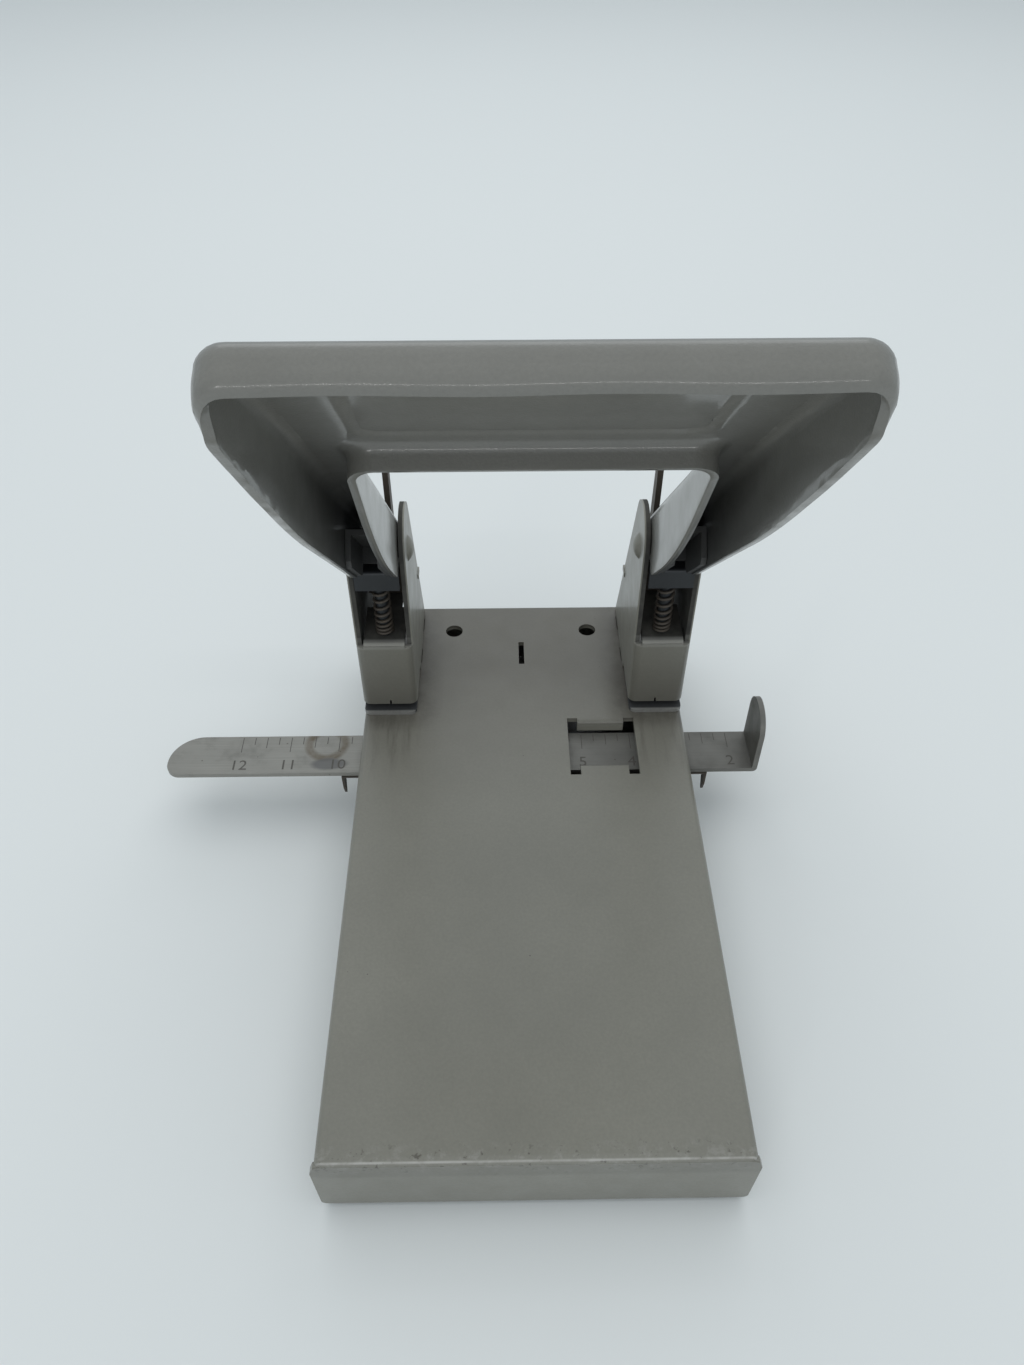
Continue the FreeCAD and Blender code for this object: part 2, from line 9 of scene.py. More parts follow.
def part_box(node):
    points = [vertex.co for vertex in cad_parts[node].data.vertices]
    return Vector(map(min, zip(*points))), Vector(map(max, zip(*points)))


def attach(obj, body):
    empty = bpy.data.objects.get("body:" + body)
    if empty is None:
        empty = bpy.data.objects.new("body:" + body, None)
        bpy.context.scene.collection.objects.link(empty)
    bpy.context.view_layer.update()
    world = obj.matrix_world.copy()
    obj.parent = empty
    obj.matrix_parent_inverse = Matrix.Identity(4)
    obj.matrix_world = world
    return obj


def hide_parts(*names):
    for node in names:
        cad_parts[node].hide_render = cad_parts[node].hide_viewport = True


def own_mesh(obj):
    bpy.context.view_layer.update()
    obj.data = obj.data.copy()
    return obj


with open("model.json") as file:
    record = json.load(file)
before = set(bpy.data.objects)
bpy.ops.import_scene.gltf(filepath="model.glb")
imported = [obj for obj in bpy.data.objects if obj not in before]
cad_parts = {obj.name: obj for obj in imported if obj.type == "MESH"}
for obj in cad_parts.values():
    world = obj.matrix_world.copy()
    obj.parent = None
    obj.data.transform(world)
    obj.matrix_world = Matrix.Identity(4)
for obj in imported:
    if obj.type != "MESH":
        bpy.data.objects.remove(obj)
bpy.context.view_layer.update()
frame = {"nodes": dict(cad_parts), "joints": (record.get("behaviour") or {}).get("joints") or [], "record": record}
joints = {joint["name"]: joint for joint in frame["joints"]}
mm = 0.001


# small helpers for shader nodes
def addNode(tree, kind, inputs=None, **settings):
    # one node: a socket given for an input is linked to it, and any other value is set on it
    node = tree.nodes.new(kind)
    for key, value in settings.items():
        setattr(node, key, value)
    for key, value in (inputs or {}).items():
        if isinstance(value, bpy.types.NodeSocket):
            tree.links.new(value, node.inputs[key])
        else:
            node.inputs[key].default_value = value
    return node


def noise(tree, where, scale, detail=2.0, roughness=0.5):
    # cloudy signal about one half; scale is in clouds to the metre, and each detail octave is half as large
    node = addNode(tree, "ShaderNodeTexNoise", {"Vector": where, "Scale": scale, "Detail": detail,
                                               "Roughness": roughness})
    return node.outputs["Fac"]


def ramp(tree, value, low, high, outLow=0.0, outHigh=1.0):
    # straight line from (low, outLow) to (high, outHigh), held level outside
    node = addNode(tree, "ShaderNodeMapRange", {"Value": value, "From Min": low, "From Max": high,
                                               "To Min": outLow, "To Max": outHigh})
    return node.outputs["Result"]


def times(tree, a, b):
    # a multiplied by b
    return addNode(tree, "ShaderNodeMath", {0: a, 1: b}, operation="MULTIPLY").outputs[0]


def plus(tree, a, b):
    # the sum of a and b
    return addNode(tree, "ShaderNodeMath", {0: a, 1: b}, operation="ADD").outputs[0]


def magnitude(tree, value):
    # the value without its sign, so that one pattern serves the left and the right side
    return addNode(tree, "ShaderNodeMath", {0: value}, operation="ABSOLUTE").outputs[0]


def mixColour(tree, share, a, b):
    # a * (1 - share) + b * share, for sockets or plain colours
    node = addNode(tree, "ShaderNodeMix", data_type="RGBA", blend_type="MIX")
    for socket, value in ((node.inputs["Factor"], share), (node.inputs[6], a), (node.inputs[7], b)):
        if isinstance(value, bpy.types.NodeSocket):
            tree.links.new(value, socket)
        else:
            socket.default_value = value if socket.name == "Factor" else (*value[:3], 1.0)
    return node.outputs[2]


def shade(colour, share):
    # each part of the colour multiplied by one share
    return [part * share for part in colour]


def between(tree, value, low, high, soft):
    # 1 where value lies from low to high, falling to 0 over the soft distance outside them
    rise = ramp(tree, value, low - soft, low)
    fall = ramp(tree, value, high, high + soft, 1.0, 0.0)
    return times(tree, rise, fall)


def bandFrom(tree, value, origin, band):
    # between, with the band's two ends measured from an origin and its soft distance last
    return between(tree, value, origin + band[0], origin + band[1], band[2])


def rampFrom(tree, value, origin, span):
    # ramp whose first two numbers are measured from an origin
    return ramp(tree, value, origin + span[0], origin + span[1], *span[2:])


def specks(tree, where, perMetre, size, share):
    # round dots in a share of the cells of a cell pattern: 1 within six tenths of their size, 0 past it
    cells = addNode(tree, "ShaderNodeTexVoronoi", {"Vector": where, "Scale": perMetre})
    dot = ramp(tree, cells.outputs["Distance"], size * 0.6, size, 1.0, 0.0)
    tint = addNode(tree, "ShaderNodeSeparateColor", {"Color": cells.outputs["Color"]}).outputs[0]
    chosen = ramp(tree, tint, 1.0 - share, 1.001 - share)
    return times(tree, dot, chosen)


def newMaterial(name):
    # an empty material with one principled shader, whose patterns read the object's own coordinates in metres
    material = bpy.data.materials.new(name)
    material.use_nodes = True
    tree = material.node_tree
    tree.nodes.clear()
    shader = addNode(tree, "ShaderNodeBsdfPrincipled")
    output = addNode(tree, "ShaderNodeOutputMaterial")
    tree.links.new(shader.outputs["BSDF"], output.inputs["Surface"])
    where = addNode(tree, "ShaderNodeTexCoord").outputs["Object"]
    return material, tree, shader, where


def bumps(tree, shader, layers):
    # each layer is a height signal with its depth in metres; they are laid one on the other
    normal = None
    for height, depth in layers:
        inputs = {"Height": height, "Strength": 1.0, "Distance": depth}
        if normal is not None:
            inputs["Normal"] = normal
        normal = addNode(tree, "ShaderNodeBump", inputs).outputs["Normal"]
    tree.links.new(normal, shader.inputs["Normal"])


# finishes. Lengths are in metres, and a name in PerMetre counts clouds or cells to the metre. Four numbers
# together are a ramp: two places on the signal, then the value at each. Three are a band: its two ends and
# the soft distance past them.
baseLow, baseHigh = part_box("base_shell")
# in both paints the near-black colour is painted shade: inside the lever's arms near the pivot, and inside the
# punch heads
leverPaint = {"colour": (0.168, 0.165, 0.150), "roughness": 0.36, "coat": 0.55, "coatRoughness": 0.11,
              "peelPerMetre": 2000.0, "peelDepth": 0.000060, "wavePerMetre": 95.0, "waveDepth": 0.00012,
              "speckShare": 0.03, "paintedShade": (0.018, 0.020, 0.023),
              "pivot": Vector(joints["handle_press"]["pos_m"]), "armInner": 0.0303, "armOuter": 0.0397,
              "shadeNear": 0.020, "shadeFar": 0.085, "plateMiddle": 0.0072, "faceSoft": 0.0002}
# on the base, the brown colour is dirt and also painted shade; the lightest colour is a painted highlight on the
# front bend, and the scuff colour is real wear and also a painted highlight on the heads' folds
basePaint = {"colour": (0.200, 0.195, 0.167), "roughness": 0.42, "coat": 0.32, "coatRoughness": 0.20,
             "peelPerMetre": 1500.0, "peelDepth": 0.000030, "wavePerMetre": 60.0, "waveDepth": 0.00010,
             "chip": (0.045, 0.036, 0.028), "scuffAndHighlight": (0.30, 0.295, 0.275), "paintedHighlight": (0.42, 0.41, 0.39),
             "paintedShade": (0.018, 0.017, 0.016), "dirtAndShade": (0.060, 0.054, 0.044), "speckShare": 0.10,
             "front": baseLow.y, "top": baseHigh.z, "head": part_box("right_head_frame"),
             "shelf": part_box("left_stop_bracket")[0].z}

# what both enamels share: mottling, dark grain, specks, cloudy gloss and what the painted shade does to their
# colour, roughness and coat
paintWork = {"mottlePerMetre": 38.0, "darker": 0.93, "lighter": 1.06,
             "grain": (0.3, 0.7, 0.0, 0.22), "grainShade": 0.6,
             "speckPerMetre": 230.0, "speckSize": 0.045, "speckColour": (0.03, 0.027, 0.024),
             "speckDepth": 0.7, "glossPerMetre": 140.0, "glossier": 0.05, "matter": 0.07,
             "shadeShare": 0.85, "shadeRoughens": 0.4}

# wear, a painted highlight and painted shade along the base's front edge, with places measured from the front face
# and the top face
frontWearAndLight = {"edge": (-0.001, 0.0012, 0.0035), "edgeTop": (-0.007, -0.001),
             "chipPerMetre": 560.0, "chips": (0.60, 0.63), "chipShare": 0.7,
             "scuffPerMetre": 520.0, "scuffs": (0.52, 0.64), "scuffShare": 0.4,
             "bend": (0.00045, 0.00055, 0.00022), "bendTop": (-0.0018, -0.0012),
             "highlightPerMetre": 180.0, "highlightNoise": (0.30, 0.60, 0.20, 0.75),
             "underFace": (0.0004, 0.0002), "under": (-0.0055, -0.0020, 0.0012), "underShare": 0.22}

# painted shade, dirt and painted highlights on and round the punch heads, with places measured from a head's box
# and the top face
headDirtAndLight = {"wall": 0.0007, "faceSoft": 0.0002, "shadeRise": (0.003, 0.008),
             "shadeMottlePerMetre": 210.0, "shadeMottle": (0.25, 0.75, 0.72, 0.98),
             "topFace": (-0.0006, 0.0002, 0.0006),
             "dragScale": (520.0, 60.0, 200.0), "drag": (0.46, 0.70), "dragShare": 0.55,
             "dragInset": 0.002, "dragSideSoft": 0.003, "dragAhead": (-0.010, 0.0, 0.014),
             "cloudPerMetre": 130.0, "cloud": (0.30, 0.64, 0.25, 1.0), "cloudShare": 0.85,
             "footSides": (0.0010, 0.0008, 0.0055), "footEnds": (0.002, 0.001, 0.006),
             "rear": (0.005, 0.055), "rearShare": 0.65,
             "plateFace": (0.0012, 0.0006), "plateFoot": (0.0010, 0.0020), "plateFadeFrom": 0.003,
             "plateFade": (0.55, 0.15),
             "fold": (-0.0016, 0.0004, 0.0004), "foldFace": (0.0022, 0.0014), "foldShare": 0.35}


def frontEdgeWearAndLight(tree, xyz, where, paint, colour):
    # scuffs and chips where a ragged noise is high near the front edge, painted shade under its bend, and a
    # painted highlight line on the bend: each is a band on y times a band or ramp on z, times its noise
    y, z = xyz.outputs["Y"], xyz.outputs["Z"]
    front, top, wearAndLight = paint["front"], paint["top"], frontWearAndLight
    nearEdge = times(tree, bandFrom(tree, y, front, wearAndLight["edge"]), rampFrom(tree, z, top, wearAndLight["edgeTop"]))
    flaked = noise(tree, where, wearAndLight["chipPerMetre"], 5.0, 0.7)
    chips = times(tree, ramp(tree, flaked, *wearAndLight["chips"]), nearEdge)
    # painted highlight: a bright line along the top of the bend, broken by noise
    bend = times(tree, bandFrom(tree, y, front, wearAndLight["bend"]), rampFrom(tree, z, top, wearAndLight["bendTop"]))
    paintedHighlight = times(tree, bend, ramp(tree, noise(tree, where, wearAndLight["highlightPerMetre"], 4.0, 0.6), *wearAndLight["highlightNoise"]))
    # painted shade: a darker band on the front face just under the bend
    shadeUnderBend = times(tree, rampFrom(tree, y, front, wearAndLight["underFace"]),
                      bandFrom(tree, z, top, wearAndLight["under"]))
    ragged = noise(tree, where, wearAndLight["scuffPerMetre"], 4.0, 0.7)
    scuffs = times(tree, ramp(tree, ragged, *wearAndLight["scuffs"]), nearEdge)
    colour = mixColour(tree, times(tree, scuffs, wearAndLight["scuffShare"]), colour, paint["scuffAndHighlight"])
    colour = mixColour(tree, times(tree, chips, wearAndLight["chipShare"]), colour, paint["chip"])
    colour = mixColour(tree, times(tree, shadeUnderBend, wearAndLight["underShare"]), colour, paint["dirtAndShade"])
    return mixColour(tree, paintedHighlight, colour, paint["paintedHighlight"])


def headDirtShadeAndHighlight(tree, xyz, where, paint, colour):
    # painted shade, near black, on the faces inside each punch head, and brown dirt dragged forward from the
    # throats; painted shade round the heads' feet, broken by cloudy noise; the top face darker towards its rear;
    # painted shade low on the front plates, and a painted highlight on the fold above. Each place is a product of
    # bands and ramps on x without its sign, y and z, and mixes a colour in
    x, y, z = magnitude(tree, xyz.outputs["X"]), xyz.outputs["Y"], xyz.outputs["Z"]
    low, high = paint["head"]
    top, shelf, dirtAndShade, dirtAndLight = paint["top"], paint["shelf"], paint["dirtAndShade"], headDirtAndLight
    wall, soft = dirtAndLight["wall"], dirtAndLight["faceSoft"]
    # painted shade: near black on the faces inside each head, mottled by noise
    shadedInside = times(tree, between(tree, x, low.x + wall, high.x - wall, soft),
                   times(tree, ramp(tree, y, low.y + wall, low.y + wall + 2 * soft),
                         rampFrom(tree, z, top, dirtAndLight["shadeRise"])))
    shadeMottle = ramp(tree, noise(tree, where, dirtAndLight["shadeMottlePerMetre"], 4.0, 0.65), *dirtAndLight["shadeMottle"])
    colour = mixColour(tree, times(tree, shadedInside, shadeMottle), colour, paint["paintedShade"])

    onTop = bandFrom(tree, z, top, dirtAndLight["topFace"])
    dragged = addNode(tree, "ShaderNodeMapping", {"Vector": where, "Scale": dirtAndLight["dragScale"]})
    streaks = ramp(tree, noise(tree, dragged.outputs["Vector"], 1.0, 4.0, 0.6), *dirtAndLight["drag"])
    ahead = times(tree, between(tree, x, low.x + dirtAndLight["dragInset"], high.x - dirtAndLight["dragInset"],
                                dirtAndLight["dragSideSoft"]),
                  bandFrom(tree, y, low.y, dirtAndLight["dragAhead"]))
    colour = mixColour(tree, times(tree, times(tree, ahead, onTop),
                                   times(tree, streaks, dirtAndLight["dragShare"])), colour, dirtAndShade)

    # painted shade round each head's foot on the top face, broken up by cloudy noise
    sideIn, sideOut, sideSoft = dirtAndLight["footSides"]
    endFront, endRear, endSoft = dirtAndLight["footEnds"]
    footShade = times(tree, between(tree, x, low.x - sideIn, high.x + sideOut, sideSoft),
                   between(tree, y, low.y - endFront, high.y + endRear, endSoft))
    cloudy = ramp(tree, noise(tree, where, dirtAndLight["cloudPerMetre"], 5.0, 0.7), *dirtAndLight["cloud"])
    colour = mixColour(tree, times(tree, times(tree, footShade, onTop),
                                   times(tree, cloudy, dirtAndLight["cloudShare"])), colour, dirtAndShade)
    # the top face darker towards its rear
    rear = times(tree, ramp(tree, y, *dirtAndLight["rear"]), onTop)
    colour = mixColour(tree, times(tree, rear, dirtAndLight["rearShare"]), colour, dirtAndShade)

    # painted shade on the front plates, darker towards their foot
    frontPlateShade = times(tree, rampFrom(tree, y, low.y, dirtAndLight["plateFace"]),
                      rampFrom(tree, z, top, dirtAndLight["plateFoot"]))
    fade = ramp(tree, z, top + dirtAndLight["plateFadeFrom"], shelf, *dirtAndLight["plateFade"])
    colour = mixColour(tree, times(tree, frontPlateShade, fade), colour, dirtAndShade)
    # painted highlight along the fold at the top of each front plate
    fold = times(tree, bandFrom(tree, z, shelf, dirtAndLight["fold"]), rampFrom(tree, y, low.y, dirtAndLight["foldFace"]))
    return mixColour(tree, times(tree, fold, dirtAndLight["foldShare"]), colour, paint["scuffAndHighlight"]), shadedInside


def armShade(tree, xyz, paint):
    # mask of painted shade: 1 on the faces inside the hollow arms near the pivot, falling to 0 along the arm. The
    # raised arm points along z - y and its plate faces along z + y, and each sum is the root of 2 times the
    # distance
    x, y, z = magnitude(tree, xyz.outputs["X"]), xyz.outputs["Y"], xyz.outputs["Z"]
    pivot, diagonal, soft = paint["pivot"], math.sqrt(2), paint["faceSoft"]
    rise = addNode(tree, "ShaderNodeMath", {0: z, 1: y}, operation="SUBTRACT").outputs[0]
    along = ramp(tree, rise, (pivot.z - pivot.y) + paint["shadeNear"] * diagonal,
                 (pivot.z - pivot.y) + paint["shadeFar"] * diagonal, 1.0, 0.0)
    plate = pivot.y + pivot.z + paint["plateMiddle"] * diagonal
    under = ramp(tree, plus(tree, y, z), plate - soft, plate + soft, 1.0, 0.0)
    arm = between(tree, x, paint["armInner"], paint["armOuter"], soft)
    return times(tree, times(tree, arm, along), under)


def enamel(name, paint):
    # baked enamel: the colour from darker to lighter with a cloudy noise, then dark grain and specks mixed in,
    # then painted shade inside the lever's arms; on the base, wear, painted shade and painted highlights along the
    # front edge and round the heads. The painted shade mask raises the roughness by its share and takes the clear
    # coat away: coat * (1 - shaded)
    material, tree, shader, where = newMaterial(name)
    work = paintWork
    mottle = noise(tree, where, work["mottlePerMetre"], 5.0, 0.6)
    grain = noise(tree, where, paint["peelPerMetre"], 3.0, 0.6)
    wave = noise(tree, where, paint["wavePerMetre"], 2.0, 0.4)
    colour = mixColour(tree, ramp(tree, mottle, 0.3, 0.7), shade(paint["colour"], work["darker"]),
                       shade(paint["colour"], work["lighter"]))
    colour = mixColour(tree, ramp(tree, grain, *work["grain"]), colour,
                       shade(paint["colour"], work["grainShade"]))
    dots = specks(tree, where, work["speckPerMetre"], work["speckSize"], paint["speckShare"])
    colour = mixColour(tree, times(tree, dots, work["speckDepth"]), colour, work["speckColour"])
    rough = ramp(tree, noise(tree, where, work["glossPerMetre"], 3.0), 0.3, 0.7,
                 paint["roughness"] - work["glossier"], paint["roughness"] + work["matter"])
    xyz = addNode(tree, "ShaderNodeSeparateXYZ", {"Vector": where})
    if "pivot" in paint:
        # painted shade on the faces inside the lever's arms near the pivot
        shaded = armShade(tree, xyz, paint)
        colour = mixColour(tree, times(tree, shaded, work["shadeShare"]), colour, paint["paintedShade"])
    else:
        colour = frontEdgeWearAndLight(tree, xyz, where, paint, colour)
        colour, shaded = headDirtShadeAndHighlight(tree, xyz, where, paint, colour)
    rough = plus(tree, rough, times(tree, shaded, work["shadeRoughens"]))
    tree.links.new(colour, shader.inputs["Base Color"])
    tree.links.new(rough, shader.inputs["Roughness"])
    tree.links.new(ramp(tree, shaded, 0.0, 1.0, paint["coat"], 0.0), shader.inputs["Coat Weight"])
    shader.inputs["Coat Roughness"].default_value = paint["coatRoughness"]
    bumps(tree, shader, [(wave, paint["waveDepth"]), (grain, paint["peelDepth"])])
    return material


barSteel = {"box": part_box("gauge_bar"), "colour": (0.310, 0.302, 0.278), "roughness": 0.42, "metallic": 0.55,
            "glossier": 0.07, "matter": 0.14, "lineScale": (60.0, 3500.0, 3500.0), "lineShade": 0.82,
            "cloudPerMetre": 130.0, "cloud": (0.50, 0.72, 0.0, 0.6), "cloudShade": 0.55,
            "right": (-0.03, 0.02, 0.0, 0.62), "shadeUnderBase": 0.35,
            "lineDepth": 0.000006, "cloudDepth": 0.00002,
            "topAbove": 0.0013,                      # the strip's upper face over its lower one
            "ringX": baseLow.x - 0.0085, "ringFromBack": 0.0030, "ring": (0.0042, 0.0052, 0.0010),
            "ringCloud": (0.3, 0.6, 0.3, 0.9), "stain": (0.115, 0.088, 0.056),
            "patchRight": 0.001, "patchFromFront": 0.0030, "patchStretch": (0.5, 1.2, 1.0),
            "patchRagged": 0.002, "patch": (0.0028, 0.0036, 0.75, 0.0), "grey": (0.120, 0.120, 0.122),
            "spotPerMetre": 420.0, "spotSize": 0.11, "spotShare": 0.12, "spotDepth": 0.6,
            "spotColour": (0.07, 0.05, 0.035)}


def stainedSteel(name, bar):
    # drawn strip: fine lines along X, darker clouds, painted shade making it darker towards the right where it
    # runs under the base, a brown ring where the distance from its middle lies in a band, and a grey patch where a
    # stretched distance is short
    material, tree, shader, where = newMaterial(name)
    stretched = addNode(tree, "ShaderNodeMapping", {"Vector": where, "Scale": bar["lineScale"]})
    lines = noise(tree, stretched.outputs["Vector"], 1.0, 3.0, 0.6)
    cloud = noise(tree, where, bar["cloudPerMetre"], 5.0, 0.65)
    low, high = bar["box"]
    middle = Vector((bar["ringX"], high.y - bar["ringFromBack"], low.z + bar["topAbove"]))
    apart = addNode(tree, "ShaderNodeVectorMath", {0: where, 1: middle}, operation="DISTANCE")
    ring = between(tree, apart.outputs["Value"], *bar["ring"])
    plain = bar["colour"]
    colour = mixColour(tree, ramp(tree, lines, 0.25, 0.75), shade(plain, bar["lineShade"]), plain)
    colour = mixColour(tree, ramp(tree, cloud, *bar["cloud"]), colour, shade(plain, bar["cloudShade"]))
    across = addNode(tree, "ShaderNodeSeparateXYZ", {"Vector": where}).outputs["X"]
    # painted shade: darker towards the right, where the bar runs under the base
    colour = mixColour(tree, ramp(tree, across, *bar["right"]), colour, shade(plain, bar["shadeUnderBase"]))
    colour = mixColour(tree, times(tree, ring, ramp(tree, cloud, *bar["ringCloud"])), colour, bar["stain"])
    patchAt = Vector((bar["ringX"] + bar["patchRight"], low.y + bar["patchFromFront"],
                      low.z + bar["topAbove"]))
    shift = addNode(tree, "ShaderNodeVectorMath", {0: where, 1: patchAt}, operation="SUBTRACT").outputs[0]
    flat = addNode(tree, "ShaderNodeVectorMath", {0: shift, 1: bar["patchStretch"]}, operation="MULTIPLY")
    reach = addNode(tree, "ShaderNodeVectorMath", {0: flat.outputs[0]}, operation="LENGTH").outputs["Value"]
    patch = ramp(tree, plus(tree, reach, times(tree, cloud, bar["patchRagged"])), *bar["patch"])
    colour = mixColour(tree, patch, colour, bar["grey"])
    spots = specks(tree, where, bar["spotPerMetre"], bar["spotSize"], bar["spotShare"])
    colour = mixColour(tree, times(tree, spots, bar["spotDepth"]), colour, bar["spotColour"])
    tree.links.new(colour, shader.inputs["Base Color"])
    shader.inputs["Metallic"].default_value = bar["metallic"]
    rough = ramp(tree, cloud, 0.3, 0.7, bar["roughness"] - bar["glossier"], bar["roughness"] + bar["matter"])
    tree.links.new(rough, shader.inputs["Roughness"])
    bumps(tree, shader, [(lines, bar["lineDepth"]), (cloud, bar["cloudDepth"])])
    return material


# plain steels share their tool lines and tarnish; each has its own colour and gloss
steelWork = {"linesPerMetre": 1400.0, "lineShade": 0.8, "cloudPerMetre": 260.0,
             "tarnish": (0.10, 0.075, 0.05), "tarnishFrom": (0.52, 0.75, 0.0), "glossier": 0.06,
             "matter": 0.12, "lineDepth": 0.000006, "cloudDepth": 0.00001}
toolSteel = {"colour": (0.34, 0.335, 0.32), "roughness": 0.42, "metallic": 0.5, "tarnishShare": 0.25,
             "paintedShadeColour": (0.035, 0.038, 0.042), "shadeUp": (0.030, 0.050, 0.0, 0.9),
             "shadeBehind": (0.0004, 0.0009, 0.0, 0.88), "front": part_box("left_die_plate")[0].y}
springSteel = {"colour": (0.080, 0.067, 0.055), "roughness": 0.52, "metallic": 0.4, "tarnishShare": 0.6}
gaugeInk = {"colour": (0.105, 0.098, 0.088), "roughness": 0.55, "metallic": 0.2, "tarnishShare": 0.25}
zincSheet = {"colour": (0.46, 0.46, 0.46), "roughness": 0.40, "metallic": 1.0, "tarnishShare": 0.1}


def plainSteel(name, steel):
    # steel with faint tool lines and a little brown tarnish; painted shade darkens it with height and behind its
    # front
    material, tree, shader, where = newMaterial(name)
    work = steelWork
    lines = noise(tree, where, work["linesPerMetre"], 3.0, 0.6)
    cloud = noise(tree, where, work["cloudPerMetre"], 5.0, 0.65)
    mixed = mixColour(tree, ramp(tree, lines, 0.25, 0.75), shade(steel["colour"], work["lineShade"]),
                      steel["colour"])
    tarnished = ramp(tree, cloud, *work["tarnishFrom"], steel["tarnishShare"])
    mixed = mixColour(tree, tarnished, mixed, work["tarnish"])
    # painted shade inside the heads: darker with height and behind the die plate's front
    if "paintedShadeColour" in steel:
        xyz = addNode(tree, "ShaderNodeSeparateXYZ", {"Vector": where})
        mixed = mixColour(tree, ramp(tree, xyz.outputs["Z"], *steel["shadeUp"]), mixed, steel["paintedShadeColour"])
        behind = rampFrom(tree, xyz.outputs["Y"], steel["front"], steel["shadeBehind"])
        mixed = mixColour(tree, behind, mixed, steel["paintedShadeColour"])
    tree.links.new(mixed, shader.inputs["Base Color"])
    shader.inputs["Metallic"].default_value = steel["metallic"]
    rough = ramp(tree, cloud, 0.3, 0.7, steel["roughness"] - work["glossier"],
                 steel["roughness"] + work["matter"])
    tree.links.new(rough, shader.inputs["Roughness"])
    bumps(tree, shader, [(lines, work["lineDepth"]), (cloud, work["cloudDepth"])])
    return material


rubber = {"colour": (0.022, 0.022, 0.022), "dust": (0.075, 0.072, 0.066), "dustPerMetre": 90.0,
          "dusty": (0.4, 0.8, 0.0, 0.5), "roughness": (0.3, 0.7, 0.65, 0.85), "ribsPerMetre": 160.0,
          "ribDepth": 0.0002, "grainPerMetre": 2500.0, "grainDepth": 0.00003}


def ribbedRubber(name):
    # black rubber whose ribs are the product of two waves turned 45 degrees each way, with dust in clouds
    material, tree, shader, where = newMaterial(name)
    waves = []
    for turn in (45.0, -45.0):
        turned = addNode(tree, "ShaderNodeMapping", {"Vector": where,
                                                     "Rotation": (0.0, 0.0, math.radians(turn))})
        wave = addNode(tree, "ShaderNodeTexWave", {"Vector": turned.outputs["Vector"],
                                                  "Scale": rubber["ribsPerMetre"]})
        waves.append(wave.outputs["Fac"])
    dust = noise(tree, where, rubber["dustPerMetre"], 5.0, 0.7)
    colour = mixColour(tree, ramp(tree, dust, *rubber["dusty"]), rubber["colour"], rubber["dust"])
    tree.links.new(colour, shader.inputs["Base Color"])
    tree.links.new(ramp(tree, dust, *rubber["roughness"]), shader.inputs["Roughness"])
    grain = noise(tree, where, rubber["grainPerMetre"])
    ribs = times(tree, waves[0], waves[1])
    bumps(tree, shader, [(ribs, rubber["ribDepth"]), (grain, rubber["grainDepth"])])
    return material


finishes = {
    "lever_enamel": enamel("leverEnamel", leverPaint),
    "base_enamel": enamel("baseEnamel", basePaint),
    "gauge_steel": stainedSteel("gaugeSteel", barSteel),
    "tool_steel": plainSteel("toolSteel", toolSteel),
    "spring_steel": plainSteel("springSteel", springSteel),
    "gauge_marks": plainSteel("gaugeMarks", gaugeInk),
    "plain_sheet": plainSteel("zincSheet", zincSheet),
    "mat_rubber": ribbedRubber("matRubber"),
}
for part in frame["record"]["subparts"]:
    node = frame["nodes"][part["node"]]
    for slotIndex in range(len(node.material_slots)):
        node.material_slots[slotIndex].material = finishes[part["material_slot"]]
print("finishes: %d" % len(finishes))


def meshPiece(name, points, faces, body, slotName):
    # one smooth mesh from arrays of points and faces, riding on a body with its slot's finish
    mesh = bpy.data.meshes.new(name)
    mesh.from_pydata(points.tolist(), [], faces.tolist())
    mesh.validate()
    mesh.polygons.foreach_set("use_smooth", [True] * len(mesh.polygons))
    piece = bpy.data.objects.new(name, mesh)
    bpy.context.scene.collection.objects.link(piece)
    mesh.materials.append(finishes[slotName])
    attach(piece, body)
    return piece


def gridFaces(rows, columns, closeColumns=False):
    # quads of a grid whose point (i, j) is number i * columns + j; a closed one joins its last column to
    # the first
    i = np.arange(rows - 1)[:, None]
    j = np.arange(columns if closeColumns else columns - 1)[None, :]
    jNext = (j + 1) % columns
    corners = [i * columns + j, (i + 1) * columns + j, (i + 1) * columns + jNext, i * columns + jNext]
    return np.stack([np.broadcast_to(c, np.broadcast(i, j).shape).ravel() for c in corners], 1)


# punch springs
springWire = {"radius": 0.40 * mm, "turns": 12.5, "flatTurns": 0.9, "flatPitch": 2.02, "ease": 0.35,
              "capGap": 0.05 * mm, "around": 12, "perTurn": 36}


